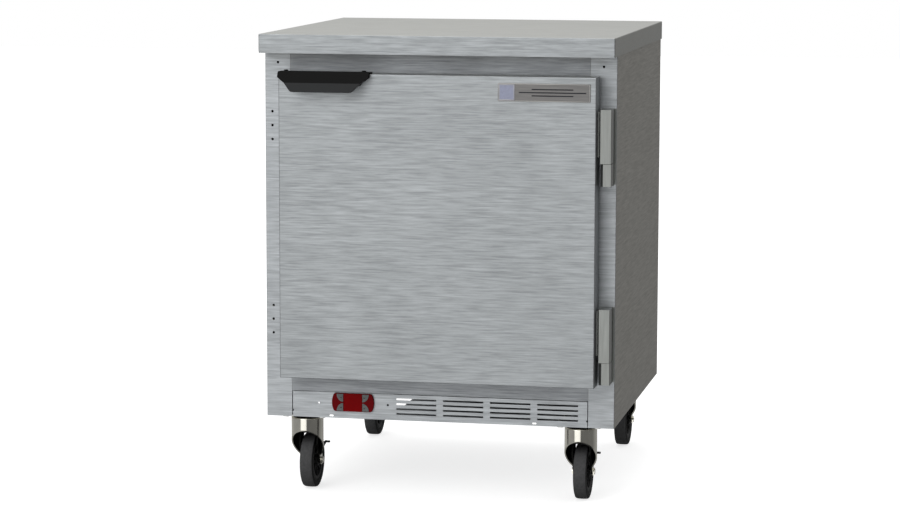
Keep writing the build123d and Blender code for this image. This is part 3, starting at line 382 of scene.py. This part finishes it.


# Painted shade: the faces inside each caster hood get a near-black sheet standing in for the shade
# within it.
for name, axis in swivel_axes.items():
    finish_faces(f"{name}_caster_hood", extra["hood_painted_shade"], inside_hood(axis))
facing_front = -0.6
finish_faces("worktop", materials["door_steel"], lambda centre, normal: normal.y < facing_front)
# Painted shade: the caster plates' faces below the cabinet get near-black, standing in for the shaded
# gap above each hood.
finish_faces("caster_plates", extra["gap_painted_shade"], lambda centre, normal: centre.z < base_z)
stile_sheet = 0.0013
for name in ("left_side_panel", "right_side_panel"):
    finish_faces(name, materials["front_steel"], lambda centre, normal: centre.y < face_y + stile_sheet)
# Painted shade: the whole face frame gets a darker copy of the front steel, standing in for the shade on
# the header under the worktop and above the door.
finish_faces("face_frame", extra["frame_steel_painted_shade"], lambda centre, normal: True)
handle_low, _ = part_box("door_handle")
handle_crease = handle_low.z + 0.017
lip_facing = -0.3
# Painted light: the handle's lower forward-facing band gets a lighter copy of its black plastic, as if
# lit, while the upper band stays darker as in the worktop's shade.
finish_faces(
    "door_handle",
    extra["handle_painted_light_band"],
    lambda centre, normal: centre.z < handle_crease and normal.y < lip_facing,
)
finish_faces("door_screws", materials["handle_plastic"], lambda centre, normal: centre.x < 0)
# Painted shade: foam faces in the pockets behind the corner holes get near-black, standing in for the
# shade in the holes.
pocket_front, pocket_back, pocket_inner = face_y + 0.0016, face_y + 0.0125, 0.31
finish_faces(
    "foam_insulation",
    extra["gap_painted_shade"],
    lambda centre, normal: pocket_front < centre.y < pocket_back and abs(centre.x) > pocket_inner,
)


# ------------------------------------------------------------------------- mesh building
class Piece:
    """A mesh made from rings, bars and strips, which rides on one body."""

    def __init__(self, name):
        self.name = name
        self.mesh = bmesh.new()
        self.materials = []

    def revolve(self, outline, centre, axis, steps=72):
        """Sweeps a closed outline of (radius, along) points round an axis."""
        axis = Vector(axis).normalized()
        side = axis.orthogonal().normalized()
        across = axis.cross(side)
        rings = []
        for step in range(steps):
            angle = 2 * pi * step / steps
            outwards = side * cos(angle) + across * sin(angle)
            rings.append([self.mesh.verts.new(centre + outwards * r + axis * a) for r, a in outline])
        for step, here in enumerate(rings):
            self.bridge(here, rings[(step + 1) % steps])

    def bridge(self, here, there):
        """Joins two rings of points with quads."""
        for index in range(len(here)):
            after = (index + 1) % len(here)
            self.mesh.faces.new((here[index], here[after], there[after], there[index]))

    def bar(self, centre, size, turn=None, bevel=0.0):
        """Bevelled bar of a given size about a centre."""
        place = Matrix.Translation(centre) @ (turn or Matrix()) @ Matrix.Diagonal((*size, 1))
        made = bmesh.ops.create_cube(self.mesh, size=1.0, matrix=place)
        if bevel:
            edges = {edge for vertex in made["verts"] for edge in vertex.link_edges}
            bmesh.ops.bevel(
                self.mesh, geom=list(edges), offset=bevel, segments=2, affect="EDGES", profile=0.5
            )

    def finish(self, body, paints, stands_for=(), smooth=40):
        bmesh.ops.remove_doubles(self.mesh, verts=self.mesh.verts, dist=1e-6)
        bmesh.ops.recalc_face_normals(self.mesh, faces=self.mesh.faces)
        data = bpy.data.meshes.new(self.name)
        self.mesh.to_mesh(data)
        self.mesh.free()
        data.polygons.foreach_set("use_smooth", [True] * len(data.polygons))
        data.set_sharp_from_angle(angle=radians(smooth))
        for paint in paints:
            data.materials.append(paint)
        piece = bpy.data.objects.new(self.name, data)
        bpy.context.scene.collection.objects.link(piece)
        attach(piece, body)
        if stands_for:
            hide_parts(*stands_for)
        return piece


def middle(name):
    low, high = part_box(name)
    return (low + high) / 2


def mirrored(outline):
    """Adds the other half of an outline that is the same on both sides of along = 0."""
    return outline + [(r, -a) for r, a in reversed(outline)]


# --------------------------------------------------------------------------------- wheels
def make_wheel(corner):
    """Crowned tyre with a stepped side on a dished hub with ribs and a bearing boss."""
    node = f"{corner}_caster_wheel"
    low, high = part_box(node)
    centre = (low + high) / 2
    radius = (high.z - low.z) / 2
    side = (high.x - low.x) / 2
    half = side - 0.0013
    rim = 0.038
    axis = Vector((1, 0, 0))
    wheel = Piece(f"{corner}_wheel_detail")
    tyre = [
        (rim, 0.0105),
        (rim + 0.001, half - 0.0006),
        (rim + 0.0035, half - 0.0002),
        (rim + 0.004, half - 0.001),
        (rim + 0.0052, half - 0.001),
        (rim + 0.0058, half),
        (radius - 0.0034, half),
        (radius - 0.0016, half - 0.0007),
        (radius - 0.0006, half - 0.0022),
        (radius - 0.0002, half - 0.0055),
        (radius, 0.003),
    ]
    wheel.revolve(mirrored(tyre), centre, axis, 96)
    hub = [
        (0.0052, side),
        (0.0095, side),
        (0.0110, side - 0.0012),
        (0.0120, 0.0060),
        (0.0140, 0.0045),
        (0.0290, 0.0045),
        (0.0310, 0.0060),
        (0.0325, 0.0112),
        (0.0360, 0.0118),
        (rim, 0.0108),
    ]
    wheel.revolve(mirrored(hub), centre, axis, 72)
    rib_count = 8
    collar = [(0.0128, 0.009), (0.0150, 0.009), (0.0150, 0.0044), (0.0128, 0.0044)]
    for face in (-1, 1):
        for number in range(rib_count):
            angle = 2 * pi * number / rib_count
            turn = Matrix.Rotation(angle, 4, "X")
            place = centre + turn @ Vector((face * 0.0072, 0, 0.0215))
            wheel.bar(place, (0.006, 0.0022, 0.0205), turn, 0.0005)
        wheel.revolve([(r, face * a) for r, a in collar], centre, axis, 48)
    # Painted shade: the tyre's sidewalls get a darker copy of the tyre rubber, standing in for the shade
    # inside the hood; the tread keeps the lighter rubber.
    paints = (materials["caster_tyre"], extra["tyre_side_painted_shade"], extra["wheel_hub"])
    piece = wheel.finish(f"{corner}_wheel", paints, (node,))
    for face in piece.data.polygons:
        offset = face.center - centre
        distance = Vector((0, offset.y, offset.z)).length
        if distance < rim:
            face.material_index = 2
        elif abs(face.normal.x) > 0.6:
            face.material_index = 1


for corner in swivel_axes:
    make_wheel(corner)


# --------------------------------------------------------------------------- door gasket
def make_gasket():
    """Mitred vinyl gasket: flat base, two folds and a rounded magnet pocket."""
    low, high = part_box("door_gasket")
    depth = high.y - low.y
    width = 0.017
    outline = [
        (0, 0),
        (0.0002, 0.0009),
        (0.0040, 0.0014),
        (0.0058, 0.0022),
        (0.0034, 0.0030),
        (0.0016, 0.0036),
        (0.0006, 0.0050),
        (0.0010, depth - 0.0008),
        (0.0024, depth),
        (width - 0.0034, depth),
        (width - 0.0020, depth - 0.0008),
        (width - 0.0016, 0.0050),
        (width - 0.0026, 0.0036),
        (width - 0.0044, 0.0030),
        (width - 0.0068, 0.0022),
        (width - 0.0050, 0.0014),
        (width - 0.0002, 0.0009),
        (width, 0),
    ]
    gasket = Piece("door_gasket_profile")
    centre_x, centre_z = (low.x + high.x) / 2, (low.z + high.z) / 2
    half_x, half_z = (high.x - low.x) / 2, (high.z - low.z) / 2
    corners = []
    for across, up in ((-1, -1), (1, -1), (1, 1), (-1, 1)):
        corners.append([
            gasket.mesh.verts.new((
                centre_x + across * (half_x - inset),
                low.y + rise,
                centre_z + up * (half_z - inset),
            ))
            for inset, rise in outline
        ])
    for number, here in enumerate(corners):
        gasket.bridge(here, corners[(number + 1) % 4])
    gasket.finish("door", (materials["gasket_rubber"],), ("door_gasket",), 60)


make_gasket()


# ----------------------------------------------------------------------------------- fans
def make_fan(node, body, axis, hub_radius, blades, twist):
    """Moulded fan wheel: a domed hub and swept, cambered blades."""
    low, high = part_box(node)
    centre = (low + high) / 2
    axis = Vector(axis)
    tip = max(high.z - low.z, high.y - low.y if axis.x else high.x - low.x) / 2 - 0.0005
    half = (high - low).dot(Vector([abs(part) for part in axis])) / 2
    fan = Piece(f"{body}_wheel")
    hub = [
        (0.0031, -half * 0.62),
        (hub_radius, -half * 0.62),
        (hub_radius, half * 0.35),
        (hub_radius - 0.0015, half * 0.55),
        (hub_radius - 0.0050, half * 0.70),
        (0.0031, half * 0.72),
    ]
    fan.revolve(hub, centre, axis, 64)
    side = axis.orthogonal().normalized()
    across = axis.cross(side)
    spans, chords, thickness = 10, 10, 0.0013
    for blade in range(blades):
        layers = []
        for offset in (-thickness / 2, thickness / 2):
            grid = []
            for span in range(spans + 1):
                share = span / spans
                radius = hub_radius - 0.001 + (tip - hub_radius + 0.001) * share
                belly = sin(pi * min(1.0, 0.25 + 0.62 * share))
                chord = 0.62 * hub_radius + 0.50 * (tip - hub_radius) * belly
                pitch = radians(twist[0] + (twist[1] - twist[0]) * share)
                row = []
                for place in range(chords + 1):
                    along = (place / chords - 0.5) * chord
                    camber = 0.10 * chord * (1 - (2 * place / chords - 1) ** 2)
                    rise = max(-half * 0.94, min(half * 0.94, along * sin(pitch) + camber + offset))
                    angle = 2 * pi * blade / blades + 0.35 * share + along * cos(pitch) / radius
                    row.append(fan.mesh.verts.new(
                        centre + (side * cos(angle) + across * sin(angle)) * radius + axis * rise
                    ))
                grid.append(row)
            layers.append(grid)
        under, over = layers
        for span in range(spans):
            for place in range(chords):
                for grid in layers:
                    fan.mesh.faces.new((
                        grid[span][place],
                        grid[span + 1][place],
                        grid[span + 1][place + 1],
                        grid[span][place + 1],
                    ))
            for place in (0, chords):
                fan.mesh.faces.new((
                    under[span][place], under[span + 1][place], over[span + 1][place], over[span][place]
                ))
        for span in (0, spans):
            for place in range(chords):
                fan.mesh.faces.new((
                    under[span][place], under[span][place + 1], over[span][place + 1], over[span][place]
                ))
    fan.finish(body, (materials["fan_plastic"],), (node,), 35)


make_fan("evaporator_fan_blade", "evaporator_fan", (0, -1, 0), 0.018, 5, (38, 20))
make_fan("condenser_fan_blade", "condenser_fan", (1, 0, 0), 0.020, 5, (34, 18))


def make_fan_guard():
    """Wire guard over the evaporator fan opening: rings on four spokes."""
    low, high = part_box("evaporator_cover")
    fan = middle("evaporator_fan_blade")
    centre = Vector((fan.x, low.y - 0.0012, fan.z))
    wire = 0.0011
    section = [(wire * cos(pi * step / 4), wire * sin(pi * step / 4)) for step in range(8)]
    guard = Piece("evaporator_fan_guard")
    for radius in (0.012, 0.024, 0.036, 0.048, 0.060, 0.067):
        guard.revolve([(radius + out, along) for out, along in section], centre, (0, 1, 0), 72)
    for number in range(4):
        turn = Matrix.Rotation(pi / 4 + number * pi / 2, 4, "Y")
        guard.bar(centre + turn @ Vector((0, 0.0004, 0.041)), (0.0024, 0.0020, 0.060), turn, 0.0006)
    guard.finish("cabinet", (materials["screw_steel"],))


make_fan_guard()


# --------------------------------------------------------------------- door's inner face
def make_inner_emboss():
    """Pressed field and two stiffening ribs on the door's inner skin, inside the gasket."""
    low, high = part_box("door_inner_panel")
    centre = (low + high) / 2
    margin = 0.042
    rise = 0.0045
    rib_offset = 0.13
    rib_share = 0.82
    field = Piece("door_inner_field")
    size = Vector((high.x - low.x - 2 * margin, 2 * rise, high.z - low.z - 2 * margin))
    field.bar(Vector((centre.x, high.y, centre.z)), size, None, 0.0030)
    for side in (-1, 1):
        rib = Vector((0.012, 0.0024, size.z * rib_share))
        field.bar(Vector((centre.x + side * rib_offset, high.y + rise, centre.z)), rib, None, 0.0009)
    field.finish("door", (materials["liner"],))


make_inner_emboss()


# ----------------------------------------------------------------------------------- badge
def make_badge():
    """Thin bright rims round the plate and the tile, and three plain lines in place of a name."""
    plate_low, plate_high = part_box("badge_plate")
    tile_low, tile_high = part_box("badge_tile")
    lines = Piece("badge_lines")
    rims = Piece("badge_rims")
    proud, thin = 0.0003, 0.0010
    for low, high in ((plate_low, plate_high), (tile_low, tile_high)):
        centre = (low + high) / 2
        for side in (-1, 1):
            edge_x = centre.x + side * ((high.x - low.x) / 2 - 0.0010)
            edge_z = centre.z + side * ((high.z - low.z) / 2 - 0.0010)
            upright = (thin, 2 * proud, high.z - low.z - 0.0020)
            level = (high.x - low.x - 0.0020, 2 * proud, thin)
            rims.bar(Vector((edge_x, low.y, centre.z)), upright, None, 0.00015)
            rims.bar(Vector((centre.x, low.y, edge_z)), level, None, 0.00015)
    margin = 0.008
    start, end = tile_high.x + margin, plate_high.x - margin
    for row, share in enumerate((0.62, 1.0, 0.62)):
        length = (end - start) * share
        place = Vector((
            (start + end) / 2,
            plate_low.y,
            (plate_low.z + plate_high.z) / 2 + (1 - row) * 0.006,
        ))
        lines.bar(place, (length, 0.0004, 0.0022), None, 0.00015)
    rims.finish("door", (extra["badge_rim"],))
    lines.finish("door", (extra["badge_line"],))


make_badge()


# ------------------------------------------------------------------------------------ keys
def make_key_mark(name):
    """Small raised chevron near each key's inner edge."""
    low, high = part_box(name)
    facia = middle("controller_facia")
    centre = (low + high) / 2
    inwards = 1 if facia.x > centre.x else -1
    upwards = 1 if centre.z > facia.z else -1
    place = Vector((centre.x + inwards * 0.0022, low.y, centre.z + upwards * 0.0010))
    mark = Piece(f"{name}_mark")
    for side in (-1, 1):
        turn = Matrix.Rotation(side * radians(40), 4, "Y")
        mark.bar(place + Vector((side * 0.0009, 0, 0)), (0.0009, 0.0003, 0.0030), turn, 0.0001)
    mark.finish(name, (extra["key_mark"],))


for name in ("key_set", "key_up", "key_down", "key_defrost"):
    make_key_mark(name)


# ------------------------------------------------------------------------------- floor
def make_floor():
    """White where the camera sees it lit, with soft shadows, and a dim grey for the metal to reflect."""
    mesh = bpy.data.meshes.new("floor")
    half = 14.0
    mesh.from_pydata(
        [(-half, -half, 0), (half, -half, 0), (half, half, 0), (-half, half, 0)],
        [],
        [(0, 1, 2, 3)],
    )
    floor = bpy.data.objects.new("floor", mesh)
    floor.visible_glossy = False
    bpy.context.scene.collection.objects.link(floor)
    paint = bpy.data.materials.new("floor")
    paint.use_nodes = True
    tree = paint.node_tree
    tree.nodes.clear()
    output = tree.nodes.new("ShaderNodeOutputMaterial")
    shade = tree.nodes.new("ShaderNodeBsdfDiffuse")
    dim = tree.nodes.new("ShaderNodeBsdfDiffuse")
    glow = tree.nodes.new("ShaderNodeEmission")
    both = tree.nodes.new("ShaderNodeAddShader")
    pick = tree.nodes.new("ShaderNodeMixShader")
    path = tree.nodes.new("ShaderNodeLightPath")
    shade.inputs["Color"].default_value = (0.6, 0.6, 0.6, 1)
    dim.inputs["Color"].default_value = (0.42, 0.42, 0.41, 1)
    glow.inputs["Color"].default_value = (1, 1, 1, 1)
    glow.inputs["Strength"].default_value = 0.72
    tree.links.new(shade.outputs[0], both.inputs[0])
    tree.links.new(glow.outputs[0], both.inputs[1])
    tree.links.new(path.outputs["Is Camera Ray"], pick.inputs[0])
    tree.links.new(dim.outputs[0], pick.inputs[1])
    tree.links.new(both.outputs[0], pick.inputs[2])
    tree.links.new(pick.outputs[0], output.inputs["Surface"])
    mesh.materials.append(paint)


make_floor()

bpy.context.scene.view_settings.view_transform = "Standard"
bpy.context.scene.view_settings.look = "None"
